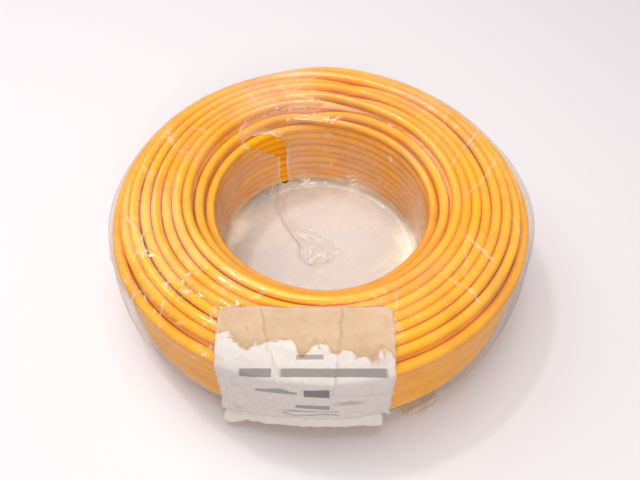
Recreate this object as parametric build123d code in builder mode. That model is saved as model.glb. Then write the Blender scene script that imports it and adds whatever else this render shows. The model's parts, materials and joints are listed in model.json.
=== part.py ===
"""Spool-less coil of single-core automotive cable, held by a shrink-film wrapping with a paper label.

Millimetres, +Z up. The origin is on the coil's axis, on the surface that the coil lies on.
The label faces -Y. Each winding layer is one closed ring with a scallop for every turn.
"""

import os
from math import cos, radians, sin

from build123d import *

os.makedirs("parts", exist_ok=True)

# Cable
cable_d = 4.4
core_d = 2.6
strand_d = 0.84

# Winding: the place of each layer's lowest turn, counted in turns from the lowest of all, and its turns
turn_pitch = 4.45
layer_pitch = 4.45
hole_r = 51.0
first_z = 2.725
web_w = 2.6
lowest_place = [1, 1, 0, 0, 0, 0, 0, 0, 0.5, 1.5]
turns_in_layer = [9, 10, 12, 12, 12, 12, 12, 12, 11, 9]

# Shrink film: its cable side, and its thickness
film_t = 0.3
film_top_z = 54.4
film_wall_r = 96.2
film_hole_r = 50.4
shoulder_r = 11.0
rim_r = 14.0
floor_z = 0.9
floor_bend_r = 3.3

# Paper label, outside the film
label_t = 0.25
label_gap = 0.05
label_left_x = -41.0
label_right_x = 29.0
label_back_y = -67.0
label_fold_z = 18.7
lip_gap = 0.4
lip_foot_z = 12.5
lip_flare = 1.8

# Cut ends of the cable: angles round the axis, in degrees, the way the cable is wound
inner_end_from = 305.0
inner_end_arc = 130.0
outer_end_from = 125.0
outer_end_arc = 40.0
core_shows = 1.2

# Torn opening in the film of the hole, and the tongue torn out of it
tear_angle = 125.0
tongue_gap = 0.3

# Sealed tab of the film, flat on the surface
tab_angle = -62.0
tab_start_r = 89.5
tab_end_r = 97.5
tab_w = 20.0
tab_t = 0.35

bend_centre_r = film_wall_r - shoulder_r
bend_top_z = film_top_z - shoulder_r
bend_low_z = film_t + shoulder_r
rim_centre_r = film_hole_r + rim_r
rim_centre_z = film_top_z - rim_r


def layer_r(layer):
    """Radius of the cable's centreline in a layer, counted from 0 at the hole."""
    return hole_r + cable_d / 2 + layer * layer_pitch


def turn_heights(layer):
    """Heights of the cable's centreline in a layer's turns, lowest first."""
    return [first_z + (lowest_place[layer] + i) * turn_pitch for i in range(turns_in_layer[layer])]


def finish(piece, name):
    """Labels a finished piece and writes its file."""
    piece.part.label = name
    export_step(piece.part, f"parts/{name}.step")


def winding_layer(radius, heights):
    """A closed ring of stacked turns: one circle for each turn, joined by a web."""
    middle = (heights[0] + heights[-1]) / 2
    with BuildPart() as ring:
        with BuildSketch(Plane.XZ):
            with Locations([(radius, z) for z in heights]):
                Circle(cable_d / 2)
            with Locations((radius, middle)):
                Rectangle(web_w, heights[-1] - heights[0])
        revolve(axis=Axis.Z)
    return ring


def turned_plane(angle):
    """The upright plane through the axis at an angle round it."""
    return Plane(origin=(0, 0, 0), x_dir=(cos(radians(angle)), sin(radians(angle)), 0),
                 z_dir=(sin(radians(angle)), -cos(radians(angle)), 0))


def jacket_end(radius, height, start, arc):
    """A stretch of jacket along a turn, hollow for its conductor."""
    with BuildPart() as jacket:
        with BuildSketch(turned_plane(start)):
            with Locations((radius, height)):
                Circle(cable_d / 2)
                Circle(core_d / 2, mode=Mode.SUBTRACT)
        revolve(axis=Axis.Z, revolution_arc=arc)
    return jacket


def strand_bundle(radius, height, start, arc):
    """Seven strands along a turn: one in the middle and six round it."""
    with BuildPart() as strands:
        with BuildSketch(turned_plane(start)):
            with Locations((radius, height)):
                Circle(strand_d / 2)
                with PolarLocations(strand_d * 1.02, 6):
                    Circle(strand_d / 2)
        revolve(axis=Axis.Z, revolution_arc=arc)
    return strands


# Winding: ten nested layers. The outer layer's lowest turn is the cable's outer end.
for layer in range(len(turns_in_layer)):
    heights = turn_heights(layer)
    if layer == len(turns_in_layer) - 1:
        heights = heights[1:]
    finish(winding_layer(layer_r(layer), heights), f"winding_layer_{layer + 1:02d}")

# Cut ends of the cable, each an unfinished turn with its stranded conductor showing
inner_end_z = turn_heights(0)[0] - turn_pitch
outer_end_z = turn_heights(len(turns_in_layer) - 1)[0]
outer_layer_r = layer_r(len(turns_in_layer) - 1)
finish(jacket_end(layer_r(0), inner_end_z, inner_end_from, inner_end_arc), "cable_inner_end")
finish(jacket_end(outer_layer_r, outer_end_z, outer_end_from, outer_end_arc), "cable_outer_end")
finish(strand_bundle(layer_r(0), inner_end_z, inner_end_from - core_shows, inner_end_arc),
       "conductor_inner_end")
finish(strand_bundle(outer_layer_r, outer_end_z, outer_end_from + core_shows, outer_end_arc),
       "conductor_outer_end")

# Upper film: top face, outer shoulder, outer wall and the bend under the coil's foot
with BuildPart() as film_upper:
    with BuildSketch(Plane.XZ):
        with BuildLine():
            for out in (0, film_t):
                Line((rim_centre_r, film_top_z + out), (bend_centre_r, film_top_z + out))
                CenterArc((bend_centre_r, bend_top_z), shoulder_r + out, 90, -90)
                Line((film_wall_r + out, bend_top_z), (film_wall_r + out, bend_low_z))
                CenterArc((bend_centre_r, bend_low_z), shoulder_r + out, 0, -90)
            Line((rim_centre_r, film_top_z), (rim_centre_r, film_top_z + film_t))
            Line((bend_centre_r, 0), (bend_centre_r, film_t))
        make_face()
    revolve(axis=Axis.Z)
finish(film_upper, "film_upper")

# Lower film: the flat sheet under the coil
with BuildPart() as film_base:
    Cylinder(bend_centre_r, film_t, align=(Align.CENTER, Align.CENTER, Align.MIN))
finish(film_base, "film_base")

# Film of the hole: rounded rim, wall and floor, with the torn opening and its slit
wall_plane = Plane(origin=(0, 0, 0), x_dir=(-sin(radians(tear_angle)), cos(radians(tear_angle)), 0),
                   z_dir=(cos(radians(tear_angle)), sin(radians(tear_angle)), 0))
tear_head = [(11.0, 47.5), (9.7, 43.3), (2.5, 37.3), (-2.0, 32.0), (-7.8, 27.8)]
tear_slit = [(-9.2, 21.9), (-8.3, 6.0), (-11.6, 6.0), (-13.3, 13.2), (-13.0, 18.8)]
tear_side = [(-11.9, 30.6), (-10.5, 36.9), (-8.6, 42.4), (7.0, 48.5)]
floor_bend_centre_r = film_hole_r - floor_bend_r
floor_bend_centre_z = floor_z + floor_bend_r
with BuildPart() as film_bowl:
    with BuildSketch(Plane.XZ):
        with BuildLine():
            for out in (0, film_t):
                Line((0, floor_z + out), (floor_bend_centre_r, floor_z + out))
                CenterArc((floor_bend_centre_r, floor_bend_centre_z), floor_bend_r - out, -90, 90)
                Line((film_hole_r - out, floor_bend_centre_z), (film_hole_r - out, rim_centre_z))
                CenterArc((rim_centre_r, rim_centre_z), rim_r + out, 180, -90)
            Line((0, floor_z), (0, floor_z + film_t))
            Line((rim_centre_r, film_top_z), (rim_centre_r, film_top_z + film_t))
        make_face()
    revolve(axis=Axis.Z)
    with BuildSketch(wall_plane.offset(film_hole_r * 0.8)):
        with BuildLine():
            Polyline(tear_head + tear_slit + tear_side, close=True)
        make_face()
    extrude(amount=film_hole_r * 0.4, mode=Mode.SUBTRACT)
finish(film_bowl, "film_bowl")

# Torn tongue of film, flat on the film floor, narrow at its root by the slit
tongue_left = [(-23.0, 38.5), (-24.6, 32.0), (-19.4, 18.0), (-12.4, 5.0)]
tongue_tip = [(-11.6, -3.0), (-6.5, -8.2), (2.0, -7.2), (9.2, -2.4)]
tongue_right = [(8.4, 4.4), (-3.0, 10.5), (-15.0, 21.6), (-20.0, 33.0), (-18.2, 40.0)]
tongue_z = floor_z + film_t + tongue_gap
with BuildPart() as film_tongue:
    with BuildSketch(Plane.XY.offset(tongue_z)):
        with BuildLine():
            sides = Spline(tongue_left + tongue_tip + tongue_right)
            Line(sides @ 1, sides @ 0)
        make_face()
    extrude(amount=film_t)
finish(film_tongue, "film_tongue")

# Sealed tab: two films welded flat, with a crimped bead along its weld
tab_axis = (cos(radians(tab_angle)), sin(radians(tab_angle)), 0)
tab_plane = Plane(origin=(0, 0, 0), x_dir=tab_axis, z_dir=(0, 0, 1))
bead_w = 1.2
bead_h = 0.25
with BuildPart() as film_seam_tab:
    with BuildSketch(tab_plane):
        with Locations(((tab_start_r + tab_end_r) / 2, 0)):
            Rectangle(tab_end_r - tab_start_r, tab_w)
    extrude(amount=tab_t)
    with BuildSketch(tab_plane.offset(tab_t)):
        with Locations((tab_end_r - 2 * bead_w, 0)):
            Rectangle(bead_w, tab_w)
    extrude(amount=bead_h)
finish(film_seam_tab, "film_seam_tab")

# Label: from the top face over the shoulder and down the wall to its fold
label_in = film_t + label_gap
label_w = label_right_x - label_left_x
label_mid_x = (label_left_x + label_right_x) / 2
label_reach = film_wall_r + 10
with BuildPart() as label:
    with BuildSketch(Plane.XZ):
        with BuildLine():
            for out in (label_in, label_in + label_t):
                Line((rim_centre_r, film_top_z + out), (bend_centre_r, film_top_z + out))
                CenterArc((bend_centre_r, bend_top_z), shoulder_r + out, 90, -90)
                Line((film_wall_r + out, bend_top_z), (film_wall_r + out, label_fold_z))
            Line((rim_centre_r, film_top_z + label_in), (rim_centre_r, film_top_z + label_in + label_t))
            Line((film_wall_r + label_in, label_fold_z), (film_wall_r + label_in + label_t, label_fold_z))
        make_face()
    revolve(axis=Axis.Z)
    with BuildSketch(Plane.XY):
        with Locations((label_mid_x, label_back_y)):
            Rectangle(label_w, label_reach + label_back_y, align=(Align.CENTER, Align.MAX))
    extrude(amount=film_top_z + 10, mode=Mode.INTERSECT)
finish(label, "label")

# Loose lower edge of the label, flared away from the wall
lip_top_z = label_fold_z - lip_gap
lip_in_r = film_wall_r + label_in
lip_inset = 2.0
with BuildPart() as label_lip:
    with BuildSketch(Plane.XZ):
        with BuildLine():
            Polyline([(lip_in_r, lip_top_z), (lip_in_r + lip_flare, lip_foot_z),
                      (lip_in_r + lip_flare + label_t, lip_foot_z), (lip_in_r + label_t, lip_top_z)],
                     close=True)
        make_face()
    revolve(axis=Axis.Z)
    with BuildSketch(Plane.XY):
        with Locations((label_mid_x, label_back_y)):
            Rectangle(label_w - 2 * lip_inset, label_reach + label_back_y, align=(Align.CENTER, Align.MAX))
    extrude(amount=film_top_z, mode=Mode.INTERSECT)
finish(label_lip, "label_lip")
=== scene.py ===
"""Coil of orange single-core cable in clear shrink film, with a stained paper label.

Shapes are worked out in millimetres in cylindrical terms (azimuth, radius, height) round the
coil's axis, and become meshes in metres in the CAD's frame.
"""
import json
import math

import bpy
import numpy as np
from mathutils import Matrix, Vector


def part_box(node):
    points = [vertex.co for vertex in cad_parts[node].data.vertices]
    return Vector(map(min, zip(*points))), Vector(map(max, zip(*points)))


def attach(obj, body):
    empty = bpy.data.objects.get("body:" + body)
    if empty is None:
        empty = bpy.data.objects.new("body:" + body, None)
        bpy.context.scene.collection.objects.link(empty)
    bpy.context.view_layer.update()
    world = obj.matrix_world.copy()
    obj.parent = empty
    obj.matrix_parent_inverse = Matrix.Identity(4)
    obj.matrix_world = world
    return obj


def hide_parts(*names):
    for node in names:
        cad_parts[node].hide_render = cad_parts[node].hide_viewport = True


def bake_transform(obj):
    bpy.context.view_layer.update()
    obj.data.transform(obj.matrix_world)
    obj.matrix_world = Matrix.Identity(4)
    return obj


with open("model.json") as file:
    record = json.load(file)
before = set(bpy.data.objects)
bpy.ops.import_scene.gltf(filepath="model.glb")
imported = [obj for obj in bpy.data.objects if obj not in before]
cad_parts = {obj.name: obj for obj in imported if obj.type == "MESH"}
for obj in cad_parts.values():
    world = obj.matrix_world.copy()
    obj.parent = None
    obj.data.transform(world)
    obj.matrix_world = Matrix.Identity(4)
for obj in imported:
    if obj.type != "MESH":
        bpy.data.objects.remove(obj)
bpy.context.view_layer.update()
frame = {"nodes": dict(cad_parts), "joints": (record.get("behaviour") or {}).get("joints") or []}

MM = 0.001
rng = np.random.default_rng(11)


# ---------------------------------------------------------------- measures from the frame
def box_mm(node):
    """Lowest and highest corner of a CAD node, in millimetres."""
    lo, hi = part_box(node)
    return np.array(lo) / MM, np.array(hi) / MM


LAYER_NODES = sorted(n for n in frame["nodes"] if n.startswith("winding_layer_"))
END_LO, END_HI = box_mm("cable_inner_end")
CABLE_D = END_HI[2] - END_LO[2]
CABLE_R = CABLE_D / 2
LAYER_R = [box_mm(n)[1][0] - CABLE_R for n in LAYER_NODES]
PITCH = (LAYER_R[-1] - LAYER_R[0]) / (len(LAYER_R) - 1)
INNER_END_Z = (END_LO[2] + END_HI[2]) / 2
OUTER_LO, OUTER_HI = box_mm("cable_outer_end")
OUTER_END_Z = (OUTER_LO[2] + OUTER_HI[2]) / 2
CORE_R = (box_mm("conductor_inner_end")[1][2] - box_mm("conductor_inner_end")[0][2]) / 2 + 0.15

FILM_WALL_R = box_mm("film_upper")[1][0]
FILM_TOP_Z = box_mm("film_upper")[1][2]
RIM_OUT_R = box_mm("film_bowl")[1][0]
BASE_R = box_mm("film_base")[1][0]
SHOULDER_R = FILM_WALL_R - BASE_R
BEND_TOP_Z = FILM_TOP_Z - SHOULDER_R
HOLE_WALL_R = LAYER_R[0] - CABLE_R - 0.9
RIM_R = RIM_OUT_R - HOLE_WALL_R
RIM_CENTRE_Z = FILM_TOP_Z - RIM_R
FLOOR_Z = box_mm("film_bowl")[0][2] + 0.3
FLOOR_BEND = 4.0


# ---------------------------------------------------------------- small helpers
def smoothstep(x):
    """0 below 0, 1 above 1, and an even curve between."""
    x = np.clip(x, 0.0, 1.0)
    return x * x * (3 - 2 * x)


def mesh_object(name, points, faces, material=None, attributes=None):
    """A smooth-shaded mesh from points in millimetres and faces of equal size."""
    points = np.asarray(points, float) * MM
    faces = np.asarray(faces, np.int32)
    mesh = bpy.data.meshes.new(name)
    mesh.vertices.add(len(points))
    mesh.vertices.foreach_set("co", points.astype(np.float32).ravel())
    corners = faces.shape[1]
    mesh.loops.add(faces.size)
    mesh.loops.foreach_set("vertex_index", faces.ravel())
    mesh.polygons.add(len(faces))
    mesh.polygons.foreach_set("loop_start", np.arange(len(faces), dtype=np.int32) * corners)
    mesh.polygons.foreach_set("use_smooth", np.ones(len(faces), bool))
    mesh.update(calc_edges=True)
    for key, values in (attributes or {}).items():
        layer = mesh.attributes.new(key, "FLOAT", "POINT")
        layer.data.foreach_set("value", np.asarray(values, np.float32).ravel())
    obj = bpy.data.objects.new(name, mesh)
    bpy.context.scene.collection.objects.link(obj)
    if material is not None:
        mesh.materials.append(material)
    return obj


def grid_faces(rows, cols, wrap=False, flip=False):
    """Quads of a grid of rows by cols points, closed round its columns if wrap is set."""
    i = np.arange(rows - 1)[:, None]
    j = np.arange(cols if wrap else cols - 1)[None, :]
    k = (j + 1) % cols
    quads = np.stack([i * cols + j, i * cols + k, (i + 1) * cols + k, (i + 1) * cols + j], -1)
    quads = quads.reshape(-1, 4)
    return quads[:, ::-1] if flip else quads


def turned(azimuth, centre):
    """Degrees from centre to azimuth, between -180 and 180."""
    return (azimuth - centre + 180) % 360 - 180


def wave_noise(t, count, low, high):
    """Smooth noise of about unit size along t: a few sines of random pitch and phase."""
    total = np.zeros_like(t)
    for _ in range(count):
        total += np.sin(2 * np.pi * (rng.uniform(low, high) * t + rng.uniform()))
    return total / math.sqrt(count / 2)


def polar(azimuth, radius, height):
    """Points from degrees, radii and heights."""
    a = np.radians(azimuth)
    return np.stack([radius * np.cos(a), radius * np.sin(a), height + 0 * a], -1)


# ---------------------------------------------------------------- camera, floor and light
VIEW_ELEVATION = 50.0
VIEW_DISTANCE = 0.2968
VIEW_LENS = 33.75


def make_camera():
    """The camera, at the photograph's angle."""
    data = bpy.data.cameras.new("camera")
    data.lens = VIEW_LENS
    data.sensor_width = 36.0
    data.clip_start = 0.01
    data.shift_y = -0.031
    camera = bpy.data.objects.new("camera", data)
    elevation = math.radians(VIEW_ELEVATION)
    back = Vector((0, -math.cos(elevation), math.sin(elevation)))
    camera.location = Vector((0, 0, FILM_TOP_Z * MM / 2)) + back * VIEW_DISTANCE
    camera.rotation_mode = "QUATERNION"
    camera.rotation_quaternion = (-back).to_track_quat("-Z", "Y")
    bpy.context.scene.collection.objects.link(camera)
    bpy.context.scene.camera = camera


def make_stage():
    """Pale floor, studio world and four soft lights aimed at the coil."""
    bpy.context.scene.view_settings.view_transform = "Standard"
    bpy.context.scene.view_settings.look = "None"
    half = 3.0
    corners = [(-half, -half, 0), (half, -half, 0), (half, half, 0), (-half, half, 0)]
    mesh = bpy.data.meshes.new("floor")
    mesh.from_pydata(corners, [], [(0, 1, 2, 3)])
    floor = bpy.data.objects.new("floor", mesh)
    floor.location.z = -0.0003
    bpy.context.scene.collection.objects.link(floor)
    material = bpy.data.materials.new("table_top")
    material.use_nodes = True
    shader = material.node_tree.nodes["Principled BSDF"]
    shader.inputs["Base Color"].default_value = (0.68, 0.645, 0.665, 1)
    shader.inputs["Roughness"].default_value = 0.55
    mesh.materials.append(material)

    world = bpy.data.worlds.new("studio")
    world.use_nodes = True
    background = world.node_tree.nodes["Background"]
    background.inputs["Color"].default_value = (0.95, 0.97, 1.0, 1)
    background.inputs["Strength"].default_value = 0.36
    bpy.context.scene.world = world

    def area(name, place, size, power, colour):
        light = bpy.data.lights.new(name, "AREA")
        light.shape = "RECTANGLE"
        light.size, light.size_y = size
        light.energy = power
        light.color = colour
        obj = bpy.data.objects.new(name, light)
        obj.location = place
        obj.rotation_mode = "QUATERNION"
        obj.rotation_quaternion = (Vector(place) * -1).to_track_quat("-Z", "Y")
        bpy.context.scene.collection.objects.link(obj)

    area("window", (-0.75, 0.60, 0.95), (0.9, 0.7), 5.6, (1.0, 0.98, 0.97))
    area("ceiling", (-0.05, 0.12, 1.1), (0.7, 0.7), 7.3, (1.0, 0.97, 0.95))
    area("fill", (0.12, -0.80, 0.62), (0.3, 0.3), 3.7, (1.0, 0.97, 0.94))
    area("lamp", (-0.30, 0.25, 0.90), (0.05, 0.05), 1.6, (1.0, 0.97, 0.92))


# ---------------------------------------------------------------- the cable's path
# Points in one turn, the azimuth where turns begin, and where in a turn it crosses to the next slot
STATIONS = 120
TURN_START = 125.0
CROSSING_FROM = 308.0
CROSSING_ARC = 36.0
LEAST_SPACING = CABLE_D - 0.06


def slots_in_order():
    """Where each turn lies, (radius, height, layer), in the order the cable is wound."""
    slots = [(LAYER_R[0], INNER_END_Z, -1)]
    for k, name in enumerate(LAYER_NODES):
        lo, hi = box_mm(name)
        first, last = lo[2] + CABLE_R, hi[2] - CABLE_R
        count = round((last - first) / PITCH) + 1
        heights = list(np.linspace(first, last, count))
        if k % 2:
            heights.reverse()
        slots += [(LAYER_R[k], z, k) for z in heights]
    slots.append((LAYER_R[-1], OUTER_END_Z, len(LAYER_NODES)))
    return slots


def wind():
    """Radius and height of every turn at every station, settled so that no two turns overlap much."""
    slots = slots_in_order()
    base = np.array([(r, z) for r, z, _ in slots])
    layer = np.array([k for _, _, k in slots])
    count = len(slots)
    ahead = np.vstack([base[1:], base[-1:]])
    turn = np.arange(STATIONS) / STATIONS * 360.0
    starts = CROSSING_FROM + rng.uniform(-14, 12, count)
    share = smoothstep((turn[None, :] - starts[:, None]) / CROSSING_ARC)
    place = base[:, None, :] + (ahead - base)[:, None, :] * share[..., None]

    top = np.zeros(count)
    for k in range(len(LAYER_NODES)):
        mine = np.where(layer == k)[0]
        order = mine[np.argsort(-base[mine, 1])]
        top[order[0]] = 1.0
        top[order[1]] = 0.45
    run = np.arange(count * STATIONS) / STATIONS
    loose = np.repeat(0.10 + 0.30 * top, STATIONS)
    place[..., 0] += (wave_noise(run, 14, 0.5, 3.2) * loose).reshape(count, STATIONS)
    place[..., 1] += (wave_noise(run, 14, 0.5, 3.2) * loose * 0.8).reshape(count, STATIONS)
    place[..., 0] += (top * rng.uniform(-0.35, 0.35, count))[:, None]

    present = np.ones((count, STATIONS), bool)
    present[0, turn < 180.0] = False
    present[-1, turn > 40.0] = False
    target = place.copy()
    for _ in range(45):
        delta = place[:, None] - place[None]
        gap = np.sqrt((delta ** 2).sum(-1)) + 1e-9
        near = (gap < LEAST_SPACING) & present[:, None] & present[None]
        near[np.arange(count), np.arange(count)] = False
        push = np.where(near, (LEAST_SPACING - gap) / gap, 0.0)[..., None] * delta
        place += 0.42 * push.sum(1)
        place += 0.03 * (target - place)
        flat = place.reshape(-1, 2)
        flat[1:-1] = 0.5 * flat[1:-1] + 0.25 * (flat[:-2] + flat[2:])
        place = flat.reshape(count, STATIONS, 2)
        place[..., 1] = np.maximum(place[..., 1], CABLE_R + 0.4)
        place[..., 0] = np.maximum(place[..., 0], LAYER_R[0] - 0.25)
    inner = np.clip((LAYER_R[-1] - place[..., 0]) / (LAYER_R[-1] - LAYER_R[0]), 0, 1)
    place[..., 0] += oval(TURN_START + turn)[None, :] + inner * lean(TURN_START + turn)[None, :]
    return slots, place, present


def oval(azimuth):
    """How far the coil is out of round, in millimetres."""
    a = np.radians(azimuth)
    return 0.55 * np.cos(2 * a + 0.6) + 0.35 * np.cos(3 * a + 2.1) + 0.2 * np.cos(5 * a + 0.9)


def lean(azimuth):
    """How far the innermost turns stand off their circle: inward on the left, outward at the front."""
    def bump(centre, width):
        return np.exp(-(turned(azimuth, centre) / width) ** 2)
    return -2.2 * bump(186, 42) + 1.3 * bump(276, 34)


def tube(points, up_radial, radius, sides):
    """Rings round a path: points and the tangent-square normals that they turn about."""
    tangent = np.gradient(points, axis=0)
    tangent /= np.linalg.norm(tangent, axis=1)[:, None]
    side = up_radial - (up_radial * tangent).sum(1)[:, None] * tangent
    side /= np.linalg.norm(side, axis=1)[:, None]
    other = np.cross(tangent, side)
    a = np.linspace(0, 2 * np.pi, sides, endpoint=False)
    ring = np.cos(a)[None, :, None] * side[:, None] + np.sin(a)[None, :, None] * other[:, None]
    return points[:, None] + radius * ring


SIDES = 14


def cable_stretch(name, first, last, path, azimuth, material, closed_start=False, closed_end=False):
    """One stretch of the cable's jacket, from path point first to last, as its own piece."""
    points = path[first:last + 1]
    out = polar(azimuth[first:last + 1], np.ones(last + 1 - first), np.zeros(last + 1 - first))
    rings = tube(points, out, CABLE_R, SIDES)
    run = np.arange(first, last + 1) / STATIONS
    vertices = [rings.reshape(-1, 3)]
    runs = [np.repeat(run, SIDES)]
    rows = last + 1 - first
    faces = [grid_faces(rows, SIDES, wrap=True)]
    for at_start in (True, False):
        if not (closed_start if at_start else closed_end):
            continue
        row = 0 if at_start else rows - 1
        centre = points[row]
        inward = points[1 if at_start else rows - 2] - centre
        inward = inward / np.linalg.norm(inward)
        rim = rings[row]
        lips = [rim,
                centre + (rim - centre) * 0.93 - inward * 0.08,
                centre + (rim - centre) * (CORE_R / CABLE_R) - inward * 0.02,
                centre + (rim - centre) * (CORE_R / CABLE_R) + inward * 3.0]
        start = sum(len(v) for v in vertices)
        vertices.append(np.concatenate(lips))
        runs.append(np.full(len(lips) * SIDES, run[row]))
        faces.append(grid_faces(len(lips), SIDES, wrap=True, flip=at_start) + start)
    return mesh_object(name, np.concatenate(vertices), np.concatenate(faces), material,
                       {"run": np.concatenate(runs)})


def strand_bundle(name, points, out, material):
    """Nineteen twisted copper strands along a short path."""
    strand_r = CORE_R / 5.2
    places = [(0.0, 0.0)]
    places += [(2.06 * strand_r, 60.0 * i) for i in range(6)]
    places += [(3.95 * strand_r, 30.0 * i) for i in range(12)]
    tangent = np.gradient(points, axis=0)
    tangent /= np.linalg.norm(tangent, axis=1)[:, None]
    side = out - (out * tangent).sum(1)[:, None] * tangent
    side /= np.linalg.norm(side, axis=1)[:, None]
    other = np.cross(tangent, side)
    along = np.concatenate([[0], np.cumsum(np.linalg.norm(np.diff(points, axis=0), axis=1))])
    sides = 8
    vertices, faces, count = [], [], 0
    for distance, start in places:
        a = np.radians(start) + along * 2 * np.pi / 28.0
        line = points + distance * (np.cos(a)[:, None] * side + np.sin(a)[:, None] * other)
        rings = tube(line, side, strand_r, sides)
        vertices.append(rings.reshape(-1, 3))
        faces.append(grid_faces(len(line), sides, wrap=True) + count)
        count += rings.shape[0] * sides
        for end, flip in ((0, True), (len(line) - 1, False)):
            cap = np.vstack([rings[end], np.repeat(rings[end].mean(0)[None], sides, 0)])
            vertices.append(cap)
            faces.append(grid_faces(2, sides, wrap=True, flip=flip) + count)
            count += len(cap)
    return mesh_object(name, np.concatenate(vertices), np.concatenate(faces), material)


# ---------------------------------------------------------------- materials
def new_material(name):
    """A material with only its output node."""
    material = bpy.data.materials.new(name)
    material.use_nodes = True
    tree = material.node_tree
    tree.nodes.clear()
    output = tree.nodes.new("ShaderNodeOutputMaterial")
    return material, tree, output


def node(tree, kind, **values):
    """A node with its properties, and its sockets by name, set."""
    made = tree.nodes.new(kind)
    for key, value in values.items():
        if hasattr(made, key):
            setattr(made, key, value)
        else:
            made.inputs[key.replace("_", " ")].default_value = value
    return made


def noise_of(tree, vector, **values):
    """A noise texture's value, looked up at a vector."""
    made = node(tree, "ShaderNodeTexNoise", **values)
    tree.links.new(vector, made.inputs["Vector"])
    return made.outputs["Fac"]


def math_of(tree, operation, *values, clamp=False):
    """The result of an arithmetic node on numbers and other nodes' outputs."""
    made = node(tree, "ShaderNodeMath", operation=operation, use_clamp=clamp)
    for socket, value in zip(made.inputs, values):
        if isinstance(value, (int, float)):
            socket.default_value = value
        elif value is not None:
            tree.links.new(value, socket)
    return made.outputs["Value"]


def mix_shaders(tree, factor, first, second):
    """Two shaders mixed by a factor."""
    made = node(tree, "ShaderNodeMixShader")
    for socket, source in zip(made.inputs, (factor, first, second)):
        tree.links.new(source, socket)
    return made.outputs["Shader"]


def bump_of(tree, height, strength, distance):
    """A bumped normal."""
    made = node(tree, "ShaderNodeBump", Strength=strength, Distance=distance)
    tree.links.new(height, made.inputs["Height"])
    return made.outputs["Normal"]


def ramp(tree, source, stops):
    """A colour ramp over a value."""
    made = tree.nodes.new("ShaderNodeValToRGB")
    elements = made.color_ramp.elements
    while len(elements) > 1:
        elements.remove(elements[-1])
    elements[0].position, elements[0].color = stops[0][0], (*stops[0][1], 1)
    for position, colour in stops[1:]:
        element = elements.new(position)
        element.color = (*colour, 1)
    tree.links.new(source, made.inputs["Fac"])
    return made.outputs["Color"]


def cable_material():
    """Orange PVC: its tone drifts along the cable, with faint grime and an uneven gloss."""
    material, tree, output = new_material("orange_pvc")
    link = tree.links.new
    shader = node(tree, "ShaderNodeBsdfPrincipled", Roughness=0.4, Specular_IOR_Level=0.16)
    where = node(tree, "ShaderNodeTexCoord").outputs["Object"]
    run = node(tree, "ShaderNodeAttribute", attribute_name="run")
    tone = node(tree, "ShaderNodeTexNoise", noise_dimensions="1D", Scale=1.7)
    link(run.outputs["Fac"], tone.inputs["W"])
    base = ramp(tree, tone.outputs["Fac"], [(0.30, (0.89, 0.365, 0.003)), (0.5, (0.94, 0.410, 0.004)),
                                            (0.7, (0.97, 0.455, 0.008))])
    grime = noise_of(tree, where, Scale=60.0, Detail=6.0)
    dirt = ramp(tree, grime, [(0.35, (0.86, 0.80, 0.72)), (0.52, (1, 1, 1))])
    mixed = node(tree, "ShaderNodeMix", data_type="RGBA", blend_type="MULTIPLY", Factor=0.8)
    link(base, mixed.inputs[6])
    link(dirt, mixed.inputs[7])
    link(mixed.outputs[2], shader.inputs["Base Color"])
    link(bump_of(tree, noise_of(tree, where, Scale=900.0, Detail=3.0), 0.12, 0.0002), shader.inputs["Normal"])
    rough = ramp(tree, grime, [(0.3, (0.52, 0.52, 0.52)), (0.65, (0.38, 0.38, 0.38))])
    link(rough, shader.inputs["Roughness"])
    link(shader.outputs["BSDF"], output.inputs["Surface"])
    return material


def copper_material():
    """Bare copper, brighter and darker in patches."""
    material, tree, output = new_material("bare_copper")
    link = tree.links.new
    shader = node(tree, "ShaderNodeBsdfPrincipled", Metallic=1.0)
    patches = noise_of(tree, node(tree, "ShaderNodeTexCoord").outputs["Object"], Scale=700.0)
    colour = ramp(tree, patches, [(0.35, (0.62, 0.24, 0.12)), (0.65, (0.88, 0.42, 0.24))])
    rough = ramp(tree, patches, [(0.3, (0.42, 0.42, 0.42)), (0.7, (0.24, 0.24, 0.24))])
    link(colour, shader.inputs["Base Color"])
    link(rough, shader.inputs["Roughness"])
    link(shader.outputs["BSDF"], output.inputs["Surface"])
    return material


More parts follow.
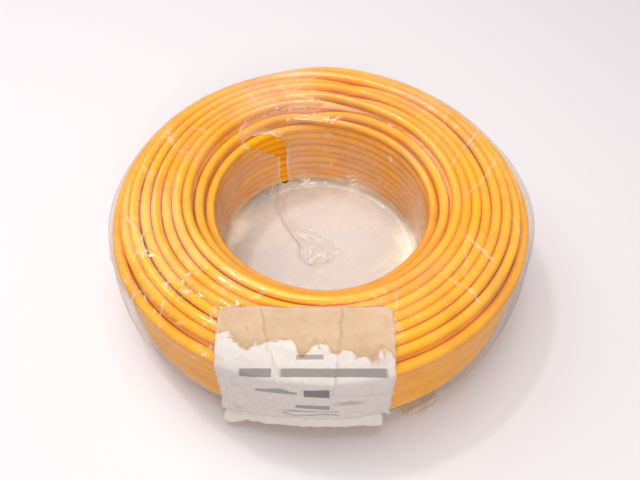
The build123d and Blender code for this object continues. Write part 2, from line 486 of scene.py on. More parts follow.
def film_material():
    """Clear film: see-through and glossy, darker as painted shade where seen edgewise, milky where haze says
    so, brown at torn edges and specks.
    """
    material, tree, output = new_material("clear_film")
    link = tree.links.new
    where = node(tree, "ShaderNodeTexCoord").outputs["Object"]
    haze = node(tree, "ShaderNodeAttribute", attribute_name="haze")
    torn = node(tree, "ShaderNodeAttribute", attribute_name="torn")
    crinkle = bump_of(tree, noise_of(tree, where, Scale=120.0, Detail=4.0, Distortion=1.2), 0.35, 0.0006)
    clear = node(tree, "ShaderNodeBsdfTransparent")
    edgewise = node(tree, "ShaderNodeLayerWeight", Blend=0.5)
    # Painted shade: the see-through colour darkens as the film turns edgewise to the view, drawing grey
    # outlines at its edges and folds.
    grazing_shade = ramp(tree, edgewise.outputs["Facing"], [(0.30, (0.985, 0.985, 0.985)), (0.75, (0.90, 0.89, 0.88)),
                                                  (1.0, (0.72, 0.69, 0.67))])
    link(grazing_shade, clear.inputs["Color"])
    gloss = node(tree, "ShaderNodeBsdfGlossy", Color=(1, 1, 1, 1), Roughness=0.06)
    link(crinkle, gloss.inputs["Normal"])
    milk = node(tree, "ShaderNodeBsdfPrincipled", Roughness=0.5)
    tint = ramp(tree, torn.outputs["Fac"], [(0.0, (0.92, 0.825, 0.69)), (1.0, (0.30, 0.19, 0.12))])
    link(tint, milk.inputs["Base Color"])
    spread = node(tree, "ShaderNodeMapRange", From_Min=0.3, From_Max=0.7, To_Min=0.25, To_Max=1.75)
    link(noise_of(tree, where, Scale=38.0, Detail=5.0), spread.inputs["Value"])
    amount = math_of(tree, "MULTIPLY", haze.outputs["Fac"], spread.outputs["Result"], clamp=True)
    body = mix_shaders(tree, amount, clear.outputs["BSDF"], milk.outputs["BSDF"])
    facing = node(tree, "ShaderNodeLayerWeight", Blend=0.5)
    link(crinkle, facing.inputs["Normal"])
    steep = math_of(tree, "POWER", facing.outputs["Facing"], 5.0)
    sheen = math_of(tree, "MULTIPLY_ADD", steep, 0.40, 0.030)
    link(mix_shaders(tree, sheen, body, gloss.outputs["BSDF"]), output.inputs["Surface"])
    return material


# ---------------------------------------------------------------- the film's shape
# Crumples in the hole: their azimuth and height over the floor, and how many short folds each has; their white
# haze is painted glint
GLINTS_ON_WALL = [((101, 0.0), 9), ((72, 3.0), 8), ((125, -1.0), 7), ((42, 30.0), 6), ((44, 11.0), 5),
                  ((84, 42.0), 4), ((84, 33.0), 4), ((86, 22.0), 3), ((87, 8.0), 4)]
# Folds on the top: radius and azimuth of each end, and how white, partly milkiness and partly painted glint
TOP_FOLDS = [(95, 28, 70.4, 17.2, 0.30), (70.4, 17.2, 56, 4, 0.22), (94, 43, 69, 30.7, 0.26),
             (69, 30.7, 58, 22, 0.18), (89, 13.6, 61.2, -10.8, 0.26), (67.8, -26, 85.7, -32.2, 0.40),
             (80.7, -44, 92, -45.2, 0.40), (67.8, -26, 80.7, -44, 0.12), (88.8, 192, 82.3, 201, 0.38),
             (82.3, 201, 82.8, 208.5, 0.38), (85.3, 47.4, 91.3, 13.2, 0.28), (91.3, 13.2, 92.2, -7, 0.28),
             (84.7, 86.5, 61.5, 107.5, 0.20), (88, 94, 64, 116, 0.16), (60, 125, 52, 141, 0.18),
             (62, 160, 55, 185, 0.14), (92, 150, 70, 163, 0.16), (90, 170, 76, 176, 0.14),
             (84, -12, 94, -20, 0.22), (60, -60, 74, -66, 0.12)]
# Bulges of the film near the foot: azimuth, how far above the foot, width round and up, height
FOOT_BULGES = [(218, 6, 24, 13, 2.6), (196, 10, 16, 12, 1.6), (-30, 12, 18, 14, 2.6), (-52, 2, 14, 10, 2.4),
               (-6, 22, 17, 24, 3.0), (14, 22, 12, 18, 1.4), (186, 24, 18, 22, 1.9), (150, 10, 30, 12, 1.2),
               (60, 8, 30, 14, 1.3)]
# The film's grid: columns round the coil, spacing along the section, and the guide line's depth below the film
AROUND = 720
STEP = 0.5
INSET = 6.0


def profile_curve():
    """The wrapping's section from the middle of the hole's floor, over the rim, the top and the shoulder,
    and down the wall to the foot: an inner guide line, its outward normals and the length along the film."""
    pieces = []

    def line(a, b, normal):
        length = math.dist(a, b)
        t = np.linspace(0, 1, max(2, round(length / STEP)), endpoint=False)[:, None]
        pieces.append((np.array(a) + (np.array(b) - np.array(a)) * t, np.repeat([normal], len(t), 0)))

    def arc(centre, radius, film_radius, start, end, outward):
        count = max(2, round(abs(math.radians(end - start)) * film_radius / STEP))
        a = np.radians(np.linspace(start, end, count, endpoint=False))
        ray = np.stack([np.cos(a), np.sin(a)], -1)
        pieces.append((np.array(centre) + radius * ray, ray * outward))

    bend = FLOOR_BEND
    line((0, FLOOR_Z - INSET), (HOLE_WALL_R - bend, FLOOR_Z - INSET), (0, 1))
    arc((HOLE_WALL_R - bend, FLOOR_Z + bend), bend + INSET, bend, -90, 0, -1)
    line((HOLE_WALL_R + INSET, FLOOR_Z + bend), (HOLE_WALL_R + INSET, RIM_CENTRE_Z), (-1, 0))
    arc((RIM_OUT_R, RIM_CENTRE_Z), RIM_R - INSET, RIM_R, 180, 90, 1)
    rim_end = sum(len(p) for p, _ in pieces)
    line((RIM_OUT_R, FILM_TOP_Z - INSET), (BASE_R, FILM_TOP_Z - INSET), (0, 1))
    arc((BASE_R, BEND_TOP_Z), SHOULDER_R - INSET, SHOULDER_R, 90, 0, 1)
    line((FILM_WALL_R - INSET, BEND_TOP_Z), (FILM_WALL_R - INSET, SHOULDER_R), (1, 0))
    arc((BASE_R, SHOULDER_R), SHOULDER_R - INSET, SHOULDER_R, 0, -90, 1)
    guide = np.concatenate([p for p, _ in pieces])
    normals = np.concatenate([n for _, n in pieces])
    return guide, normals, rim_end


def closing(values, reach):
    """Fills dips narrower than twice reach along the last axis, as a taut film bridges them."""
    def slide(v, pick):
        out = v.copy()
        for shift in range(1, reach + 1):
            out[..., shift:] = pick(out[..., shift:], v[..., :-shift])
            out[..., :-shift] = pick(out[..., :-shift], v[..., shift:])
        return out
    return slide(slide(values, np.maximum), np.minimum)


def blur(values, width, axis, wrap):
    """Gaussian smoothing by width samples."""
    reach = int(3 * width) + 1
    offsets = np.arange(-reach, reach + 1)
    kernel = np.exp(-0.5 * (offsets / width) ** 2)
    kernel /= kernel.sum()
    pad = [(0, 0)] * values.ndim
    pad[axis] = (reach, reach)
    padded = np.pad(values, pad, mode="wrap" if wrap else "edge")
    out = np.zeros_like(values)
    size = values.shape[axis]
    for weight, offset in zip(kernel, range(2 * reach + 1)):
        cut = [slice(None)] * values.ndim
        cut[axis] = slice(offset, offset + size)
        out += weight * padded[tuple(cut)]
    return out


def film_height(place, present, guide, normals):
    """How far the film stands from the guide line, at each station and each point of the section."""
    height = np.full((STATIONS, len(guide)), -1e9)
    reach = CABLE_R + 0.22
    for turn in range(place.shape[0]):
        centre = place[turn]
        delta = centre[:, None, :] - guide[None]
        along = (delta * normals[None]).sum(-1)
        across = delta[..., 0] * -normals[None, :, 1] + delta[..., 1] * normals[None, :, 0]
        hit = (np.abs(across) < reach) & present[turn][:, None]
        out = along + np.sqrt(np.maximum(reach ** 2 - across ** 2, 0))
        height = np.maximum(height, np.where(hit, out, -1e9))
    return height


def film_surface(place, present):
    """The film all round: azimuths, radius, height, milkiness, specks, stand-off and length along it."""
    guide, normals, rim_end = profile_curve()
    height = film_height(place, present, guide, normals)
    in_bowl = guide[:, 0] < HOLE_WALL_R + INSET - 0.5
    free = in_bowl | ((guide[:, 1] < SHOULDER_R * 0.45) & (guide[:, 0] > RIM_OUT_R))
    height[:, free] = INSET
    height = np.maximum(height, INSET - 2.2)
    height = closing(height, int(3.0 / STEP))
    height = blur(height, 0.9, 1, False)

    azimuth = np.arange(AROUND) * 360.0 / AROUND
    station_azimuth = (TURN_START + np.arange(STATIONS) * 360.0 / STATIONS) % 360.0
    order = np.argsort(station_azimuth)
    known = station_azimuth[order]
    wrapped = np.concatenate([known - 360.0, known, known + 360.0])
    spot = np.searchsorted(wrapped, azimuth, side="right") - 1
    share = (azimuth - wrapped[spot]) / (wrapped[spot + 1] - wrapped[spot])
    rows = np.concatenate([height[order]] * 3)
    height = rows[spot] * (1 - share)[:, None] + rows[spot + 1] * share[:, None]
    height = blur(height, 3.0, 0, True)

    length = np.concatenate([[0], np.cumsum(np.linalg.norm(np.diff(guide + normals * INSET, axis=0), axis=1))])
    radius_here = (guide + normals * INSET)[:, 0]
    lift, haze, specks = wrinkles(azimuth, length, radius_here, rim_end)
    height = height + lift
    r = guide[None, :, 0] + normals[None, :, 0] * height
    z = guide[None, :, 1] + normals[None, :, 1] * height
    r = np.where(guide[None, :, 0] < 1e-6, 0.0, r)
    z = np.maximum(z, 0.05)
    return azimuth, r, z, haze, specks, height, length, rim_end


def wrinkles(azimuth, length, radius_here, rim_end):
    """The film's folds as a lift off the cable, its milkiness with painted glints along many folds, and its few
    dark specks.
    """
    lift = np.zeros((len(azimuth), len(length)))
    haze = np.zeros_like(lift)
    rim_length = length[rim_end]
    total = length[-1]
    floor_edge = HOLE_WALL_R - FLOOR_BEND

    def crease(a0, s0, a1, s1, height, width, white=0.2):
        """A fold from azimuth a0 and film length s0 to a1 and s1."""
        mid_r = np.interp((s0 + s1) / 2, length, radius_here)
        x = turned(azimuth, a0)[:, None] * math.pi / 180 * mid_r
        y = (length - s0)[None, :]
        dx = turned(a1, a0) * math.pi / 180 * mid_r
        dy = s1 - s0
        size = math.hypot(dx, dy) + 1e-9
        along = (x * dx + y * dy) / size
        wiggle = 0.5 * width * np.sin(along * 0.9 + s0)
        across = (x * dy - y * dx) / size + wiggle
        t = np.clip(along / size, 0, 1)
        taper = np.sin(np.pi * t) ** 0.7
        inside = (along > 0) & (along < size)
        ridge = np.exp(-np.abs(across) / width) * taper * inside
        lift[:] += height * ridge * (0.7 + 0.3 * np.sin(5 * t + s0))
        # White haze along a fold: faint milkiness on most folds, painted glint on the brightly white ones.
        haze[:] += white * np.exp(-(across / (0.9 * width)) ** 2) * taper * inside

    top_mid = rim_length + (BASE_R - RIM_OUT_R) / 2
    wall_mid = (rim_length + total) / 2 + 14
    for _ in range(70):
        a = rng.uniform(0, 360)
        s = rng.uniform(rim_length - 16, total - 14)
        slant = rng.normal(0, 5)
        size = rng.uniform(5, 20)
        crease(a, s, a + slant, s + size, rng.uniform(0.15, 0.50), rng.uniform(0.3, 0.8),
               rng.uniform(0.01, 0.08))
    # Painted glints: short white folds over the left side.
    for _ in range(26):
        a = rng.uniform(190, 260)
        s = rng.uniform(top_mid + 2, wall_mid + 8)
        crease(a, s, a + rng.normal(0, 5), s + rng.uniform(3, 10), rng.uniform(0.3, 0.8),
               rng.uniform(0.25, 0.5), rng.uniform(0.12, 0.40))
    for a, slant in ((36, 3), (43, 6), (52, 8), (61, 2), (30, -2)):
        crease(a, rim_length - 8, a + slant * 0.5, total - 36, 0.45, 0.5, 0.10)
    for a in (92, 97, 104, 111, 118):
        crease(a, rim_length - 14, a + 3, rim_length + 22, 0.5, 0.8, 0.08)
    # Long folds on the top; their whiteness is partly milkiness, partly painted glint.
    for r0, a0, r1, a1, white in TOP_FOLDS:
        crease(a0, rim_length + r0 - RIM_OUT_R, a1, rim_length + r1 - RIM_OUT_R, 0.55, 0.45, white)
    # Painted glints: many short bright-white folds on the front left of the top.
    for _ in range(60):
        a = rng.uniform(205, 250)
        s = rim_length + rng.uniform(4, 40)
        turn = rng.uniform(-0.6, 0.9)
        size = rng.uniform(1.5, 5.0)
        crease(a, s, a + size * turn, s + size * 0.8, rng.uniform(0.25, 0.6), rng.uniform(0.3, 0.5),
               rng.uniform(0.35, 0.85))
    for _ in range(34):
        a = rng.uniform(0, 360)
        s = rng.uniform(floor_edge - 6, rim_length - 18)
        crease(a, s, a + rng.normal(0, 6), s + rng.uniform(6, 18), rng.uniform(0.3, 1.0),
               rng.uniform(0.4, 1.3), rng.uniform(0.05, 0.2))
    for _ in range(16):
        a = rng.uniform(0, 360)
        s = rng.uniform(6, floor_edge - 8)
        crease(a, s, a + rng.uniform(-40, 40), s + rng.uniform(-6, 8), rng.uniform(0.1, 0.35),
               rng.uniform(0.4, 0.9), rng.uniform(0.03, 0.1))

    def bulge(a, s, a_width, s_width, height):
        x = turned(azimuth, a)[:, None] / a_width
        y = (length - s)[None, :] / s_width
        lift[:] += height * np.exp(-(x ** 2) - y ** 2)

    foot = total - 18
    for a, above_foot, a_width, s_width, height in FOOT_BULGES:
        bulge(a, foot - above_foot, a_width, s_width, height)

    s = length[None, :]
    a = azimuth[:, None]
    in_hole = smoothstep((rim_length - 20 - s) / 12)
    on_floor = smoothstep((floor_edge + 2 - s) / 6)
    haze += 0.048 + 0.11 * in_hole + 0.14 * on_floor
    haze += 0.70 * np.exp(-((s - floor_edge - 2.0) / 7.0) ** 2) * (0.75 + 0.25 * np.sin(np.radians(a) * 7))
    # Painted glints: short white folds in the hole's crumples.
    for (a_crumple, above_floor), count in GLINTS_ON_WALL:
        for _ in range(count):
            a0 = a_crumple + rng.normal(0, 2.2)
            s0 = floor_edge + 4.0 + above_floor + rng.normal(0, 1.6)
            crease(a0, s0, a0 + rng.normal(0, 4), s0 + rng.uniform(1.5, 5), rng.uniform(0.4, 1.1),
                   rng.uniform(0.35, 0.6), rng.uniform(0.3, 0.7))

    def patch(centre, width):
        return np.exp(-(turned(a, centre) / width) ** 2)

    haze += 0.13 * patch(108, 17) * (1 - in_hole)
    haze += 0.06 * patch(45, 22) * (1 - in_hole)
    haze += 0.07 * (patch(215, 30) * np.exp(-((s - foot) / 14) ** 2))
    haze += 0.13 * (patch(192, 38) + patch(-2, 30)) * in_hole * (1 - on_floor)
    specks = np.zeros_like(haze)
    for _ in range(26):
        i = int(rng.integers(0, len(azimuth)))
        j = int(rng.integers(int(floor_edge / STEP), len(length) - 50))
        specks[i, j] = 1.0
    return lift, np.clip(haze + specks, 0.0, 0.95), specks


# ---------------------------------------------------------------- sheets
def settle(piece, slot, *nodes):
    """Puts a fixed piece on the root body in place of its CAD nodes; slot is not used."""
    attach(piece, "root")
    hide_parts(*nodes)


def thicken(obj, thickness):
    """Gives a sheet its thickness, in millimetres, as real geometry."""
    solid = obj.modifiers.new("thickness", "SOLIDIFY")
    solid.thickness = thickness * MM
    solid.offset = 0
    graph = bpy.context.evaluated_depsgraph_get()
    graph.update()
    made = bpy.data.meshes.new_from_object(obj.evaluated_get(graph))
    obj.modifiers.clear()
    obj.data = made
    return obj


def grid_sheet(name, grid, material, thickness, attributes=None, wrap=False):
    """A thin sheet from a grid of points."""
    rows, cols = grid.shape[:2]
    obj = mesh_object(name, grid.reshape(-1, 3), grid_faces(rows, cols, wrap=wrap), material,
                      {k: v.reshape(-1) for k, v in (attributes or {}).items()})
    return thicken(obj, thickness) if thickness else obj


def ragged(outline, step, amount):
    """A closed outline cut into short steps, each pushed a little in or out."""
    points = []
    for a, b in zip(outline, outline[1:] + outline[:1]):
        a, b = np.array(a, float), np.array(b, float)
        count = max(1, round(float(np.linalg.norm(b - a)) / step))
        normal = np.array([b[1] - a[1], a[0] - b[0]]) / (np.linalg.norm(b - a) + 1e-9)
        for i in range(count):
            push = rng.normal(0, amount) if i else 0.0
            points.append(a + (b - a) * i / count + normal * push)
    return np.array(points)


def outline_distance(points, outline):
    """Signed distance to a closed outline, negative inside, and the nearest point on it."""
    best = np.full(len(points), 1e9)
    nearest = points.copy()
    inside = np.zeros(len(points), bool)
    for a, b in zip(outline, np.roll(outline, -1, 0)):
        ab = b - a
        t = np.clip(((points - a) @ ab) / (ab @ ab + 1e-12), 0, 1)
        foot = a + t[:, None] * ab
        distance = np.linalg.norm(points - foot, axis=1)
        closer = distance < best
        best = np.where(closer, distance, best)
        nearest[closer] = foot[closer]
        crosses = (a[1] > points[:, 1]) != (b[1] > points[:, 1])
        at = (b[0] - a[0]) * (points[:, 1] - a[1]) / (b[1] - a[1] + 1e-12) + a[0]
        inside ^= crosses & (points[:, 0] < at)
    return np.where(inside, -best, best), nearest


def curve_through(points, count):
    """Evenly spaced points on a smooth curve through the given ones."""
    points = np.array(points, float)
    n = len(points)
    padded = np.vstack([2 * points[0] - points[1], points, 2 * points[-1] - points[-2]])
    fine = []
    for i in range(n - 1):
        p0, p1, p2, p3 = padded[i:i + 4]
        t = np.linspace(0, 1, 40, endpoint=False)[:, None]
        fine.append(0.5 * (2 * p1 + (p2 - p0) * t + (2 * p0 - 5 * p1 + 4 * p2 - p3) * t ** 2
                           + (3 * p1 - p0 - 3 * p2 + p3) * t ** 3))
    fine = np.vstack(fine + [points[-1:]])
    along = np.concatenate([[0], np.cumsum(np.linalg.norm(np.diff(fine, axis=0), axis=1))])
    at = np.linspace(0, along[-1], count)
    return np.stack([np.interp(at, along, fine[:, k]) for k in range(points.shape[1])], -1)


# ---------------------------------------------------------------- the torn opening
TEAR_AZ = 122.0
TEAR_OUTLINE = [(138.5, 46.8), (136.2, 43.3), (132.0, 40.6), (127.9, 37.3), (122.7, 32.0), (116.1, 27.8),
                (115.9, 20.0), (116.8, 12.0), (115.4, 6.4), (113.0, 5.0), (110.8, 6.2), (111.2, 12.0),
                (111.8, 20.0), (111.3, 30.6), (112.9, 36.9), (114.0, 42.2), (120.0, 44.6), (127.0, 46.2),
                (134.0, 47.8)]


def open_tear(points, faces):
    """Cuts the torn opening in the hole's film: its border follows the outline and curls off the cable."""
    scale = math.radians(1) * HOLE_WALL_R
    outline = ragged([((a - TEAR_AZ) * scale, z) for a, z in TEAR_OUTLINE], 1.1, 0.16)
    a = np.degrees(np.arctan2(points[:, 1], points[:, 0]))
    r = np.hypot(points[:, 0], points[:, 1])
    flat = np.stack([(a - TEAR_AZ) * scale, points[:, 2]], -1)
    on_wall = (r > HOLE_WALL_R - 6) & (np.abs(flat[:, 0]) < 25)
    distance = np.full(len(points), 99.0)
    nearest = flat.copy()
    distance[on_wall], nearest[on_wall] = outline_distance(flat[on_wall], outline)
    snap = np.abs(distance) < 0.30
    flat[snap] = nearest[snap]
    middle = distance[faces].mean(1)
    keep = ~((middle < 0.0) & (distance[faces].max(1) < 0.30))
    curl = np.clip(1 - np.maximum(distance, 0) / 2.6, 0, 1) ** 1.5
    upper = smoothstep((flat[:, 1] - 24) / 12)
    noise = 0.75 + 0.25 * np.sin(flat[:, 0] * 1.3) + 0.2 * np.sin(flat[:, 1] * 0.9 + 1.0)
    r = r - curl * noise * (0.5 + 1.5 * upper)
    a = np.where(on_wall, flat[:, 0] / scale + TEAR_AZ, a)
    moved = polar(a, r, flat[:, 1])
    moved[~on_wall] = points[~on_wall]
    edge = np.exp(-np.maximum(distance, 0) / 0.9)
    return moved, faces[keep], edge * on_wall


# ---------------------------------------------------------------- the tongue on the hole's floor
TONGUE_LEFT = [(-24.0, 44.4), (-25.0, 38.0), (-24.9, 32.6), (-22.2, 25.0), (-19.4, 18.0), (-14.6, 10.0),
               (-11.2, 4.0), (-11.3, -1.6), (-9.6, -6.2), (-5.6, -8.3)]
TONGUE_RIGHT = [(-13.9, 46.6), (-17.6, 41.0), (-20.0, 34.8), (-18.8, 27.6), (-14.6, 21.4), (-7.4, 16.6),
                (0.6, 12.6), (6.6, 8.4), (9.4, 3.0), (8.8, -2.6), (3.0, -7.0), (-5.0, -8.6)]


def floor_height(x, y, azimuth, film_r, film_z, floor_rows):
    """Height of the hole's film floor under a point."""
    r = np.hypot(x, y)
    a = np.degrees(np.arctan2(y, x)) % 360.0
    column = np.round(a / 360.0 * AROUND).astype(int) % AROUND
    out = np.zeros(len(x))
    for i in range(len(x)):
        out[i] = np.interp(r[i], film_r[column[i], :floor_rows], film_z[column[i], :floor_rows])
    return out


def make_tongue(azimuth, film_r, film_z, film_length):
    """The torn tongue: a thin ragged sheet along the film floor, creased near its tip, with raised streaks
    whose white haze is painted glint.
    """
    rows, cols = 120, 36
    left = curve_through(TONGUE_LEFT, rows)
    right = curve_through(TONGUE_RIGHT, rows)
    left[:, 0] += wave_noise(np.linspace(0, 9, rows), 8, 0.7, 3.0) * 0.22
    right[:, 0] += wave_noise(np.linspace(0, 9, rows), 8, 0.7, 3.0) * 0.22
    t = np.linspace(0, 1, cols)
    flat = left[:, None] + (right - left)[:, None] * t[None, :, None]
    x, y = flat[..., 0].ravel(), flat[..., 1].ravel()
    floor_rows = int(np.searchsorted(film_length, HOLE_WALL_R + 6))
    low = floor_height(x, y, azimuth, film_r, film_z, floor_rows).reshape(rows, cols)
    low = np.minimum(low, FLOOR_Z + 5.0)
    wave = 0.5 + 0.30 * np.sin(x * 0.34 + y * 0.21) + 0.22 * np.sin(y * 0.42 - x * 0.15 + 1.3)
    wave = wave.reshape(rows, cols)
    border = np.minimum(t, 1 - t)[None, :] * np.linalg.norm(right - left, axis=1)[:, None]
    border = np.minimum(border, np.linspace(1, 0, rows)[:, None] * 52.0)
    curl = 0.8 * np.clip(1 - border / 2.4, 0, 1) ** 2
    z = low + 0.15 + 0.35 * np.clip(wave, 0, None) + 0.6 * curl
    down = np.linspace(0, 1, rows)[:, None]
    right_side = (t[None, :] > 0.5) & (down < 0.86)
    shown = np.where(right_side, 1 - 0.85 * smoothstep((down - 0.18) / 0.12), 1.0)
    line = np.exp(-border / 0.40) * shown
    # Raised streaks near the tip; their white haze below is painted glint.
    painted_glint_ridge = np.zeros_like(line)
    for _ in range(26):
        row, column = rng.uniform(0.55, 0.97) * rows, rng.uniform(0.03, 0.7) * cols
        away = ((np.arange(rows)[:, None] - row) / rng.uniform(1.5, 6)) ** 2
        painted_glint_ridge += np.exp(-away - ((np.arange(cols)[None, :] - column) / rng.uniform(0.4, 0.9)) ** 2)
    z = z + 0.35 * np.clip(painted_glint_ridge, 0, 1)
    grid = np.stack([flat[..., 0], flat[..., 1], z], -1)
    # Haze: milky sheet, whiter along the torn edges, and painted glints along the raised streaks.
    haze = 0.08 + 0.65 * line + 0.75 * np.clip(painted_glint_ridge, 0, 1)
    piece = grid_sheet("torn_tongue", grid, film, 0, {"haze": haze, "torn": line})
    away = Vector((0.2983, -0.9545, 0.0))
    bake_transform(piece)
    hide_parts("film_tongue")


# ---------------------------------------------------------------- the lower film and its seam tab
def make_base():
    """The lower film: a flat ring under the coil, close to the table."""
    radii = np.concatenate([np.linspace(HOLE_WALL_R + 2.0, BASE_R - 1.0, 40),
                            np.linspace(BASE_R - 0.5, BASE_R + 1.2, 4)])
    a = np.arange(0, 360, 2.0)
    z = 0.06 + 0.05 * np.sin(radii[:, None] * 0.35 + 2 * np.radians(a)[None, :]) ** 2
    grid = polar(a[None, :] + 0 * radii[:, None], radii[:, None] + 0 * a[None, :], z)
    haze = np.full(grid.shape[:2], 0.06)
    piece = grid_sheet("film_lower_sheet", grid, film, 0.08, {"haze": haze}, wrap=True)
    settle(piece, "shrink_film", "film_base")


def make_tab():
    """The flat welded tab: crimped along its weld, with an uneven cut edge."""
    lo, hi = box_mm("film_seam_tab")
    joint = next(j for j in frame["joints"] if j["name"] == "seam_tab_lift")
    start_r = math.hypot(*joint["pos_m"][:2]) / MM
    angle = math.degrees(math.atan2(joint["pos_m"][1], joint["pos_m"][0]))
    centre = (lo + hi) / 2
    length = 2 * (math.hypot(centre[0], centre[1]) - start_r)
    half = 10.0
    along = np.linspace(0, 1, 60)
    across = np.linspace(-1, 1, 70)
    ragged_end = 0.5 * wave_noise(across * 3, 8, 0.4, 2.6)
    reach = length * (1 - 0.25 * np.abs(across) ** 3) + ragged_end * 0.7
    u = along[:, None] * reach[None, :]
    v = across[None, :] * half * (1 - 0.12 * along[:, None] ** 2)
    crimp = np.exp(-((u - (length - 2.6)) / 0.7) ** 2)
    z = 0.12 + 0.14 * crimp * (1 + np.sin(v * 5.2)) + 0.12 * (1 + np.sin(u * 0.9 + v * 0.6))
    z = z + 0.05 * along[:, None]
    ray = np.array([math.cos(math.radians(angle)), math.sin(math.radians(angle))])
    side = np.array([-ray[1], ray[0]])
    grid = np.stack([ray[0] * (start_r + u) + side[0] * v, ray[1] * (start_r + u) + side[1] * v, z], -1)
    edge = np.minimum((1 - np.abs(across))[None, :] * half, (1 - along)[:, None] * length)
    haze = 0.22 + 0.3 * crimp + 0.3 * np.exp(-edge / 0.4)
    piece = grid_sheet("seam_tab", grid, film, 0.12, {"haze": haze})
    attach(piece, "seam_tab")
    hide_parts("film_seam_tab")


# ---------------------------------------------------------------- the label
LABEL_LO, LABEL_HI = box_mm("label")
LABEL_BACK_Y = LABEL_HI[1]
LABEL_LEFT = LABEL_LO[0]
LABEL_WIDTH = LABEL_HI[0] - LABEL_LO[0]
LABEL_LENGTH = 67.0
LABEL_FOLD = 61.5
# Plain bars for lines of print: left, right, top and bottom on the label, and how dark
BARS = [(32.0, 42.5, 19.6, 22.0, 0.62), (10.4, 23.0, 24.9, 29.6, 0.72), (25.4, 67.0, 24.9, 29.6, 0.72),
        (15.6, 32.6, 37.4, 41.4, 0.62), (34.6, 44.8, 35.6, 43.8, 0.90), (31.0, 45.0, 50.0, 54.4, 0.66),
        (25.0, 49.0, 55.6, 57.0, 0.50), (25.0, 49.0, 58.4, 59.8, 0.46)]
# Creases: both ends on the label, height, width and how dark the painted shade beside each is
LABEL_CREASES = [(17.2, -2, 21.5, 19, 0.50, 0.7, 0.9), (21.5, 17, 25, 27, 0.40, 0.6, 0.6),
                 (49.5, -3, 47.8, 17, 0.50, 0.7, 0.9), (47.8, 14, 44.5, 46, 0.45, 0.7, 0.5),
                 (44, 40, 56, 42, 0.45, 0.6, 0.4), (54, 42, 74, 43.5, 0.50, 0.7, 0.5),
                 (4, 44, 30, 50, 0.30, 0.9, 0.2), (8, 28, 2, 52, 0.30, 0.8, 0.2),
                 (10, 57, 40, 59.5, 0.30, 0.7, 0.35)]


def label_place(x, v, height_at, top_length):
    """Where the label's points lie on the film, by their x and their distance v down the label."""
    flat = np.sqrt(BASE_R ** 2 - x ** 2) + LABEL_BACK_Y
    wide = np.sqrt(FILM_WALL_R ** 2 - x ** 2) - np.sqrt(BASE_R ** 2 - x ** 2)
    bend = math.pi / 4 * (wide + SHOULDER_R)
    turn = np.clip((v - flat) / bend, 0, 1) * math.pi / 2
    down = np.maximum(v - flat - bend, 0)
    y = np.where(v < flat, LABEL_BACK_Y - v, -np.sqrt((BASE_R + SHOULDER_R * np.sin(turn)) ** 2 - x ** 2))
    z = BEND_TOP_Z + SHOULDER_R * np.cos(turn) - down
    r = np.hypot(x, y)
    s = top_length + np.minimum(r, BASE_R) - RIM_OUT_R + SHOULDER_R * turn + np.minimum(down, BEND_TOP_Z - 14.0)
    azimuth = np.degrees(np.arctan2(y, x)) % 360.0
    lift = height_at(azimuth, s)
    return y, z, np.stack([np.sin(turn) * x / r, np.sin(turn) * y / r, np.cos(turn)], -1), lift


def film_lift(height, film_length):
    """A lookup of how far the film stands off its plain section, by azimuth and length."""
    def look(azimuth, s):
        a = azimuth / 360.0 * AROUND
        a0 = np.floor(a).astype(int)
        k = np.interp(s, film_length, np.arange(len(film_length)))
        k0 = np.minimum(np.floor(k).astype(int), len(film_length) - 2)
        fa, fs = a - a0, k - k0
        low = height[a0 % AROUND, k0] * (1 - fs) + height[a0 % AROUND, k0 + 1] * fs
        high = height[(a0 + 1) % AROUND, k0] * (1 - fs) + height[(a0 + 1) % AROUND, k0 + 1] * fs
        return low * (1 - fa) + high * fa - INSET
    return look


